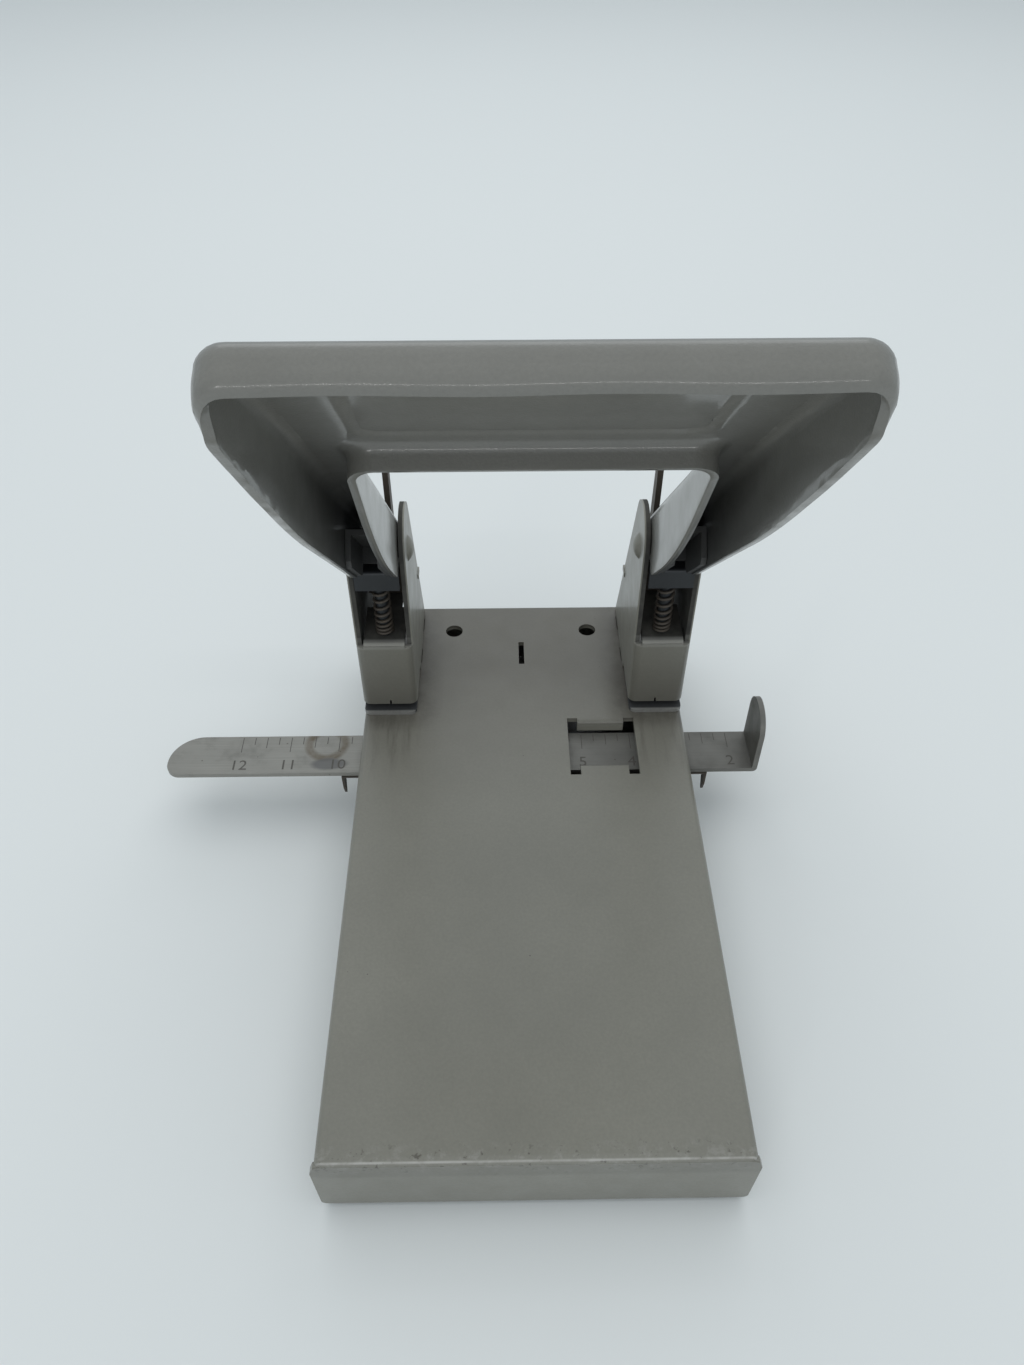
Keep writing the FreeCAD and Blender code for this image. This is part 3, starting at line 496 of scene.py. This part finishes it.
def coilPoints(wire, centre, radius, low, high):
    # a circle of wire carried along a helix: the angle grows evenly, and the height grows by little over the
    # first and last turn and between them by the share less a part of its sine, so that it starts gently
    count = int(wire["turns"] * wire["perTurn"]) + 1
    turn = np.linspace(0.0, wire["turns"], count)
    free = wire["turns"] - 2 * wire["flatTurns"]
    share = np.clip((turn - wire["flatTurns"]) / free, 0.0, 1.0)
    share = share - np.sin(2 * math.pi * share) / (2 * math.pi) * wire["ease"]
    flat = wire["radius"] * wire["flatPitch"]
    ends = np.clip(turn / wire["flatTurns"], 0, 1) * flat + np.clip(
        (turn - wire["turns"] + wire["flatTurns"]) / wire["flatTurns"], 0, 1) * flat
    z = low + wire["radius"] + ends + share * (high - low - 2 * wire["radius"] - 2 * flat)
    angle = turn * 2 * math.pi
    line = np.stack([centre[0] + radius * np.cos(angle), centre[1] + radius * np.sin(angle), z], 1)
    forward = np.gradient(line, axis=0)
    forward /= np.linalg.norm(forward, axis=1)[:, None]
    outward = np.stack([np.cos(angle), np.sin(angle), np.zeros(count)], 1)
    upward = np.cross(forward, outward)
    about = np.linspace(0.0, 2 * math.pi, wire["around"], endpoint=False)[None, :, None]
    circles = (line[:, None] + wire["radius"] * (np.cos(about) * outward[:, None]
                                                 + np.sin(about) * upward[:, None]))
    return circles.reshape(-1, 3), gridFaces(count, wire["around"], closeColumns=True)


for side in ("left", "right"):
    low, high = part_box(side + "_punch_spring")
    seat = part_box(side + "_stop_bracket")[0].z       # the shelf's upper face
    capLow = high.z + springWire["capGap"]
    centre = ((low.x + high.x) / 2, (low.y + high.y) / 2)
    radius = (high.x - low.x) / 2 - springWire["radius"]
    points, faces = coilPoints(springWire, centre, radius, seat, capLow)
    spring = meshPiece(side + "_spring_coil", points, faces, "base", "spring_steel")
    shape = bmesh.new()
    shape.from_mesh(spring.data)
    bmesh.ops.holes_fill(shape, edges=[e for e in shape.edges if e.is_boundary], sides=0)
    bmesh.ops.recalc_face_normals(shape, faces=shape.faces)
    shape.to_mesh(spring.data)
    shape.free()
    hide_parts(side + "_punch_spring")
    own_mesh(spring)
print("springs wound")


# gauge marks: fine lines from the back edge and numerals toward the front edge
scale = {"pitch": 12.7 * mm, "first": 18.4 * mm, "number": 12, "lineWide": 0.20 * mm, "height": 0.02 * mm,
         "lengths": (5.0 * mm, 2.4 * mm, 3.6 * mm, 2.4 * mm), "numeral": 4.6 * mm, "margin": 1.3 * mm,
         "edge": 0.5 * mm, "thick": 1.3 * mm, "lastLine": 4 * mm, "lastNumeral": 6 * mm, "curveSteps": 3,
         "weld": 1e-7}


def lineBoxes(x, yLow, yHigh, z, wide, high):
    # a closed box for each line: its lower corner plus each corner of the unit cube times its reach
    signs = np.array([[0, 0, 0], [1, 0, 0], [1, 1, 0], [0, 1, 0], [0, 0, 1], [1, 0, 1], [1, 1, 1], [0, 1, 1]])
    corner = np.stack([x - wide / 2, yLow, np.full_like(x, z - high)], 1)[:, None]
    reach = np.stack([np.full_like(x, wide), yHigh - yLow, np.full_like(x, 2 * high)], 1)[:, None]
    points = (corner + signs[None] * reach).reshape(-1, 3)
    sides = np.array([[0, 3, 2, 1], [4, 5, 6, 7], [0, 1, 5, 4], [1, 2, 6, 5], [2, 3, 7, 6], [3, 0, 4, 7]])
    faces = (sides[None] + 8 * np.arange(len(x))[:, None, None]).reshape(-1, 4)
    return points, faces


def numeralPoints(text, size, high):
    # the outline of a numeral as a thin solid, from high below to high above its plane, centred across
    curve = bpy.data.curves.new("numeral", "FONT")
    curve.body = text
    curve.size = size
    curve.extrude = high
    curve.resolution_u = scale["curveSteps"]
    curve.align_x = "CENTER"
    holder = bpy.data.objects.new("numeral", curve)
    bpy.context.scene.collection.objects.link(holder)
    mesh = bpy.data.meshes.new_from_object(holder.evaluated_get(bpy.context.evaluated_depsgraph_get()))
    shape = bmesh.new()
    shape.from_mesh(mesh)
    bmesh.ops.remove_doubles(shape, verts=shape.verts, dist=scale["weld"])
    bmesh.ops.triangulate(shape, faces=shape.faces)
    bmesh.ops.recalc_face_normals(shape, faces=shape.faces)
    points = np.array([v.co[:] for v in shape.verts])
    faces = np.array([[v.index for v in f.verts] for f in shape.faces])
    shape.free()
    bpy.data.meshes.remove(mesh)
    bpy.data.objects.remove(holder)
    bpy.data.curves.remove(curve)
    return points, faces


barLow, barHigh = barSteel["box"]
barTop = barLow.z + scale["thick"]
quarters = np.arange(4 * scale["number"] - 3)
markX = barLow.x + scale["first"] + quarters * scale["pitch"] / 4
kept = markX < barHigh.x - scale["lastLine"]
quarters, markX = quarters[kept], markX[kept]
markLong = np.array(scale["lengths"])[quarters % 4]
lineBack = barHigh.y - scale["edge"]
linePoints, lineFaces = lineBoxes(markX, lineBack - markLong, np.full_like(markX, lineBack), barTop,
                                  scale["lineWide"], scale["height"])
allPoints, allFaces = [linePoints], lineFaces.tolist()
start = len(linePoints)
for step in range(scale["number"]):
    numeralX = barLow.x + scale["first"] + step * scale["pitch"]
    if numeralX > barHigh.x - scale["lastNumeral"]:
        break
    points, faces = numeralPoints(str(scale["number"] - step), scale["numeral"], scale["height"])
    allPoints.append(points + np.array([numeralX, barLow.y + scale["margin"], barTop]))
    allFaces += (faces + start).tolist()
    start += len(points)
marks = bpy.data.meshes.new("gauge_marks")
marks.from_pydata(np.concatenate(allPoints).tolist(), [], allFaces)
marks.materials.append(finishes["gauge_marks"])
markPiece = bpy.data.objects.new("gauge_marks", marks)
bpy.context.scene.collection.objects.link(markPiece)
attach(markPiece, "gauge")
print("gauge marked")


# press lever: one pressed sheet, drawn round the two arms and the front plate. Its lengths are taken with the
# lever level: across, forward from the pivot, and up from the pivot
lever = {"sheet": 1.4 * mm, "raise": math.radians(45.0), "frontHalf": 42.1 * mm,
         "halfWidths": ([0, 95 * mm, 112 * mm, 127 * mm], [40.4 * mm, 40.95 * mm, 41.45 * mm, 42.1 * mm]),
         "front": 131.2 * mm, "rear": -6.0 * mm, "top": 7.9 * mm, "bend": 3.6 * mm, "corner": 4.3 * mm,
         "openHalf": 29.6 * mm, "openFront": 81.2 * mm, "openCorner": 3.6 * mm,
         "lip": 1.5 * mm, "lipTuck": 0.9 * mm, "lipFrom": 122 * mm, "lipReach": 6 * mm, "bulge": 0.25,
         "panelHalf": 28.2 * mm, "panel": (85.5 * mm, 121.5 * mm), "panelRise": 0.75 * mm,
         "panelSlope": 1.6 * mm, "panelCorner": 4.0 * mm,
         "ripple": 0.12 * mm, "ripplePerMetre": 190.0, "rippleFrom": 110 * mm, "rippleReach": 20 * mm,
         "rim": 0.35 * mm, "rimAngle": math.radians(60.0), "rimSegments": 2,
         "boreRadius": 2.55 * mm, "boreLength": 100 * mm, "boreSegments": 48}

# its flanges' lower edges, as (forward, up) places along them
flangeEdge = {"lowest": -8.09 * mm, "boss": 4.8 * mm, "bossFront": (4.5 * mm, -1.67 * mm),
              "rearArc": ((-6 * mm, -0.5 * mm), (-4 * mm, -3.6 * mm)),
              "nose": (9.76 * mm, -5.09 * mm), "noseRadius": 3.0 * mm, "noseBack": (2.95 * mm, 0.55 * mm),
              "outerArc": (66 * mm, (98 * mm, -6.3 * mm), (124 * mm, -3 * mm)), "outerEnd": 0.65 * mm,
              "openArc": (22 * mm, (45.5 * mm, -6.3 * mm), (63 * mm, -2.9 * mm)),
              "openEnd": (0.5 * mm, 1.85 * mm)}

# how finely its skin is divided: places along the rear, the arm and half the front, and rows across
skin = {"fineEnd": 13.5 * mm, "fineStep": 0.45 * mm, "armPlaces": 34, "frontPlaces": 96, "fan": 0.58,
        "flangeRows": 9, "bendRows": 7, "plateRows": 74, "crowd": 0.8}


def arcHeight(a, start, middle, end):
    # height of the circle through three points, on the side of the middle one
    (x1, y1), (x2, y2), (x3, y3) = start, middle, end
    d = 2 * (x1 * (y2 - y3) + x2 * (y3 - y1) + x3 * (y1 - y2))
    s1, s2, s3 = x1 * x1 + y1 * y1, x2 * x2 + y2 * y2, x3 * x3 + y3 * y3
    cx = (s1 * (y2 - y3) + s2 * (y3 - y1) + s3 * (y1 - y2)) / d
    cy = (s1 * (x3 - x2) + s2 * (x1 - x3) + s3 * (x2 - x1)) / d
    radius = math.hypot(x1 - cx, y1 - cy)
    sign = 1.0 if y2 > cy else -1.0
    return cy + sign * np.sqrt(np.maximum(radius * radius - (a - cx) ** 2, 0.0))


def lowerEdge(a, outer):
    # height of a flange's lower edge at a distance forward of the pivot: an arc at the rear end, the circle
    # of the boss, a straight line, the circle of the nose, the lowest level, a long arc up and a straight end
    (noseA, noseN), noseR = flangeEdge["nose"], flangeEdge["noseRadius"]
    boss, lowest = flangeEdge["boss"], flangeEdge["lowest"]
    bossA, bossN = flangeEdge["bossFront"]
    noseStart, noseTop = noseA - flangeEdge["noseBack"][0], noseN + flangeEdge["noseBack"][1]
    pieces = [(-1.0, 0.0, arcHeight(a, *flangeEdge["rearArc"], (0, -boss))),
              (0.0, bossA, -np.sqrt(np.maximum(boss * boss - a * a, 0.0))),
              (bossA, noseStart, np.interp(a, [bossA, noseStart], [bossN, noseTop])),
              (noseStart, noseA, noseN - np.sqrt(np.maximum(noseR * noseR - (a - noseA) ** 2, 0.0)))]
    arcStart, arcMiddle, arcEnd = flangeEdge["outerArc"] if outer else flangeEdge["openArc"]
    if outer:
        lastA, lastN = lever["front"], flangeEdge["outerEnd"]
    else:
        lastA, lastN = lever["openFront"] + flangeEdge["openEnd"][0], flangeEdge["openEnd"][1]
    pieces += [(arcStart, arcEnd[0], arcHeight(a, (arcStart, lowest), arcMiddle, arcEnd)),
               (arcEnd[0], 1.0, np.interp(a, [arcEnd[0], lastA], [arcEnd[1], lastN]))]
    height = np.full_like(a, lowest)
    for start, end, value in pieces:
        height = np.where((a >= start) & (a < end), value, height)
    return height


def cornerPath(half, front, corner, along):
    # walks a left side, the rounded corner and half the front: the distance along gives the place and the
    # outward direction, with the cosine and sine of the angle turned in the corner
    straight, arc = front - corner, corner * math.pi / 2
    turn = np.clip((along - straight) / corner, 0.0, math.pi / 2)
    over = np.maximum(along - straight - arc, 0.0)
    x = -half + corner - corner * np.cos(turn) + over
    a = np.minimum(along, straight) + corner * np.sin(turn)
    return np.stack([x, a], -1), np.stack([-np.cos(turn), np.sin(turn)], -1)


def outlinePlaces():
    # matched distances along the outer outline and the opening's: close at the rear, even along the arm, then
    # the first share of the rest fans out round the corner and the last share is even over half the front
    openStart = lever["openFront"] - lever["openCorner"]
    arm = np.concatenate([np.arange(lever["rear"], skin["fineEnd"], skin["fineStep"]),
                          np.linspace(skin["fineEnd"], openStart, skin["armPlaces"])])
    flatFront, fan = lever["openHalf"] - lever["openCorner"], skin["fan"]
    share = np.linspace(0.0, 1.0, skin["frontPlaces"] + 1)[1:]
    places = []
    for half, front, corner in ((lever["frontHalf"], lever["front"], lever["corner"]),
                                (lever["openHalf"], lever["openFront"], lever["openCorner"])):
        fanEnd = front - corner + corner * math.pi / 2 + half - corner - flatFront
        rest = np.where(share < fan, openStart + (fanEnd - openStart) * share / fan,
                        fanEnd + flatFront * (share - fan) / (1 - fan))
        places.append(np.concatenate([arm, rest]))
    return places


def flange(outline, normal, low, lipDepth, down):
    # rows from the lower edge up to the bend, moved along the normal: in by the tucked lip, out by the bulge
    height = low + (lever["top"] - lever["bend"] - low) * down ** skin["crowd"]
    tuck = lipDepth * (np.clip(1 - (height - low) / lever["lip"], 0, 1) ** 2
                       - lever["bulge"] * np.sin(math.pi * down))
    x = outline[None, :, 0] - normal[None, :, 0] * tuck
    y = outline[None, :, 1] - normal[None, :, 1] * tuck
    return np.stack([x, y, height], -1)


def bent(outline, normal, turn):
    # rows round the bend: inward by its radius times 1 less the cosine, upward by its radius times the sine
    inset = lever["bend"] * (1 - np.cos(turn))
    x = outline[None, :, 0] - normal[None, :, 0] * inset
    y = outline[None, :, 1] - normal[None, :, 1] * inset
    return np.stack([x, y, lever["top"] - lever["bend"] + lever["bend"] * np.sin(turn) + 0 * x], -1)


def panelStep(plate):
    # height of the embossed panel: a smooth step, s * s * (3 - 2 * s), on the signed distance to the edge of
    # a rectangle with rounded corners
    x, y = np.abs(plate[..., 0]), plate[..., 1]
    middle, halfLong = sum(lever["panel"]) / 2, (lever["panel"][1] - lever["panel"][0]) / 2
    dx = x - lever["panelHalf"] + lever["panelCorner"]
    dy = np.abs(y - middle) - halfLong + lever["panelCorner"]
    outside = np.hypot(np.maximum(dx, 0), np.maximum(dy, 0)) + np.minimum(np.maximum(dx, dy), 0)
    step = np.clip(0.5 - (outside - lever["panelCorner"]) / lever["panelSlope"], 0, 1)
    return lever["panelRise"] * step * step * (3 - 2 * step)


def leverSkin():
    # the outer face as a grid: along the arms and front it follows matched places on the outer and the
    # opening's outline; across, it goes up the outer flange, round the bend, over the plate on a straight
    # line between the two bends and down the opening's flange
    outerAlong, openAlong = outlinePlaces()
    outer, outerNormal = cornerPath(lever["frontHalf"], lever["front"], lever["corner"], outerAlong)
    halfThere = np.interp(outer[:, 1], *lever["halfWidths"])
    outer[:, 0] += (lever["frontHalf"] - halfThere) * np.abs(outerNormal[:, 0])
    opening, openNormal = cornerPath(lever["openHalf"], lever["openFront"], lever["openCorner"], openAlong)
    outer, outerNormal, opening, openNormal = (np.concatenate([p, (p * np.array([-1.0, 1.0]))[::-1][1:]])
                                               for p in (outer, outerNormal, opening, -openNormal))
    down = np.linspace(0.0, 1.0, skin["flangeRows"])[:, None]
    turn = np.linspace(0.0, math.pi / 2, skin["bendRows"] + 1)[1:, None]
    across = np.linspace(0.0, 1.0, skin["plateRows"] + 1)[1:-1, None, None]
    nearFront = np.clip((outer[:, 1] - lever["rippleFrom"]) / lever["rippleReach"], 0, 1)
    ripple = lever["ripple"] * np.sin(outer[:, 0] * lever["ripplePerMetre"]) * nearFront
    outerLow = lowerEdge(outer[:, 1], True) + ripple
    openLow = lowerEdge(opening[:, 1], False)
    lipDepth = lever["lipTuck"] * np.clip((outer[:, 1] - lever["lipFrom"]) / lever["lipReach"], 0, 1)
    outerRows = np.concatenate([flange(outer, outerNormal, outerLow, lipDepth, down),
                                bent(outer, outerNormal, turn)])
    openRows = np.concatenate([flange(opening, openNormal, openLow, np.zeros(len(outer)), down),
                               bent(opening, openNormal, turn)])
    plate = outerRows[-1][None] * (1 - across) + openRows[-1][None] * across
    plate[..., 2] += panelStep(plate)
    return np.concatenate([outerRows, plate, openRows[::-1]])


def raised(points):
    # from the level lever (across, forward, up) to the rest place: the pivot plus forward and up, each turned
    # by the raise angle
    pivot = joints["handle_press"]["pos_m"]
    forward = np.array([-math.cos(lever["raise"]), math.sin(lever["raise"])])
    upward = np.array([math.sin(lever["raise"]), math.cos(lever["raise"])])
    x, a, n = points[..., 0], points[..., 1], points[..., 2]
    y = pivot[1] + a * forward[0] + n * upward[0]
    z = pivot[2] + a * forward[1] + n * upward[1]
    return np.stack([x, y, z], -1)


def applyModifiers(piece):
    # the finished mesh takes the place of the one with modifiers
    graph = bpy.context.evaluated_depsgraph_get()
    finished = bpy.data.meshes.new_from_object(piece.evaluated_get(graph))
    piece.modifiers.clear()
    old = piece.data
    piece.data = finished
    bpy.data.meshes.remove(old)


rows = leverSkin()[:, ::-1]                          # turned, so that the faces point outward
leverPoints = raised(rows).reshape(-1, 3)
leverFaces = gridFaces(rows.shape[0], rows.shape[1])
handle = meshPiece("press_lever", leverPoints, leverFaces, "handle", "lever_enamel")
wall = handle.modifiers.new("wall", "SOLIDIFY")
wall.thickness = lever["sheet"]
wall.offset = -1.0
wall.use_even_offset = True
rim = handle.modifiers.new("rim", "BEVEL")
rim.limit_method = "ANGLE"
rim.angle_limit = lever["rimAngle"]
rim.width = lever["rim"]
rim.segments = lever["rimSegments"]
applyModifiers(handle)
pivot = joints["handle_press"]["pos_m"]
boreMesh = bpy.data.meshes.new("pivot_bore")
bore = bmesh.new()
bmesh.ops.create_cone(bore, cap_ends=True, segments=lever["boreSegments"], depth=lever["boreLength"],
                      radius1=lever["boreRadius"], radius2=lever["boreRadius"],
                      matrix=Matrix.Translation(pivot) @ Matrix.Rotation(math.pi / 2, 4, "Y"))
bore.to_mesh(boreMesh)
bore.free()
boreTool = bpy.data.objects.new("pivot_bore", boreMesh)
bpy.context.scene.collection.objects.link(boreTool)
hole = handle.modifiers.new("hole", "BOOLEAN")
hole.operation = "DIFFERENCE"
hole.solver = "EXACT"
hole.object = boreTool
applyModifiers(handle)
bpy.data.objects.remove(boreTool)
handle.data.polygons.foreach_set("use_smooth", [True] * len(handle.data.polygons))
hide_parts("handle_shell")
print("lever pressed: %d faces" % len(handle.data.polygons))


# floor, sky and lamps; each lamp is a rectangle at a place, turned to face its aim
studio = {"floorColour": (0.70, 0.725, 0.73), "floorRoughness": 0.75, "floorSpecular": 0.2, "floorHalf": 3.0,
          "sky": (0.83, 0.92, 0.97), "skyStrength": 0.56}
lamps = {
    "overheadPanel": {"place": (0.0, 0.24, 1.15), "aim": (0.0, 0.0, 0.03), "size": (1.5, 1.2), "watts": 6.6,
                      "colour": (1.0, 0.99, 0.97), "mirrored": False},
    "rearPanel": {"place": (0.0, 0.75, 0.60), "aim": (0.0, 0.05, 0.05), "size": (0.8, 0.4), "watts": 0.7,
                  "colour": (0.95, 0.98, 1.0), "mirrored": True},
    "frontStrip": {"place": (0.05, -1.4, 0.50), "aim": (0.0, -0.05, 0.05), "size": (1.2, 0.028), "watts": 2.0,
                   "colour": (1.0, 0.99, 0.97), "mirrored": True},
    "frontFill": {"place": (0.0, -0.75, 0.95), "aim": (0.0, -0.04, 0.10), "size": (1.2, 0.5), "watts": 1.6,
                  "colour": (1.0, 0.99, 0.97), "mirrored": False},
    "leftLamp": {"place": (-0.45, -0.9, 0.42), "aim": (0.0, -0.04, 0.15), "size": (0.14, 0.14), "watts": 0.5,
                 "colour": (1.0, 0.99, 0.97), "mirrored": True},
}

floorMesh = bpy.data.meshes.new("floor")
half = studio["floorHalf"]
floorMesh.from_pydata([(-half, -half, 0), (half, -half, 0), (half, half, 0), (-half, half, 0)], [],
                      [(0, 1, 2, 3)])
floor = bpy.data.objects.new("floor", floorMesh)
bpy.context.scene.collection.objects.link(floor)
paper, _, paperShader, _ = newMaterial("paperSweep")
paperShader.inputs["Base Color"].default_value = (*studio["floorColour"], 1.0)
paperShader.inputs["Roughness"].default_value = studio["floorRoughness"]
paperShader.inputs["Specular IOR Level"].default_value = studio["floorSpecular"]
floorMesh.materials.append(paper)

world = bpy.data.worlds.new("studio")
bpy.context.scene.world = world
world.use_nodes = True
background = world.node_tree.nodes["Background"]
background.inputs["Color"].default_value = (*studio["sky"], 1.0)
background.inputs["Strength"].default_value = studio["skyStrength"]

for name, lamp in lamps.items():
    light = bpy.data.lights.new(name, "AREA")
    light.shape = "RECTANGLE"
    light.size, light.size_y = lamp["size"]
    light.energy = lamp["watts"]
    light.color = lamp["colour"]
    holder = bpy.data.objects.new(name, light)
    bpy.context.scene.collection.objects.link(holder)
    holder.location = lamp["place"]
    holder.rotation_mode = "QUATERNION"
    holder.rotation_quaternion = (Vector(lamp["aim"]) - Vector(lamp["place"])).to_track_quat("-Z", "Y")
    holder.visible_glossy = lamp["mirrored"]

# camera: lens and sensor in millimetres, its place, and how it is turned in degrees, a look down from the
# user's side
view = {"lens": 27.507692, "sensor": 36.0, "near": 0.01, "far": 20.0,
        "place": (-5.65 * mm, -153.86 * mm, 223.0 * mm), "pitch": 45.006, "yaw": -0.812, "roll": -0.018}
cameraData = bpy.data.cameras.new("camera")
camera = bpy.data.objects.new("camera", cameraData)
bpy.context.scene.collection.objects.link(camera)
cameraData.sensor_fit = "VERTICAL"
cameraData.sensor_height = view["sensor"]
cameraData.sensor_width = view["sensor"]
cameraData.lens = view["lens"]
cameraData.clip_start, cameraData.clip_end = view["near"], view["far"]
pitch, yaw, roll = (math.radians(view[k]) for k in ("pitch", "yaw", "roll"))
level = Vector((-math.sin(yaw), math.cos(yaw), 0.0))
right = Vector((math.cos(yaw), math.sin(yaw), 0.0))
look = math.cos(pitch) * level - math.sin(pitch) * Vector((0, 0, 1))
up = math.cos(pitch) * Vector((0, 0, 1)) + math.sin(pitch) * level
turnedRight = math.cos(roll) * right + math.sin(roll) * up
turnedUp = -math.sin(roll) * right + math.cos(roll) * up
turned = Matrix((turnedRight, turnedUp, -look)).transposed().to_4x4()
camera.matrix_world = Matrix.Translation(view["place"]) @ turned
bpy.context.scene.camera = camera
bpy.context.scene.view_settings.view_transform = "Standard"
print("studio ready")
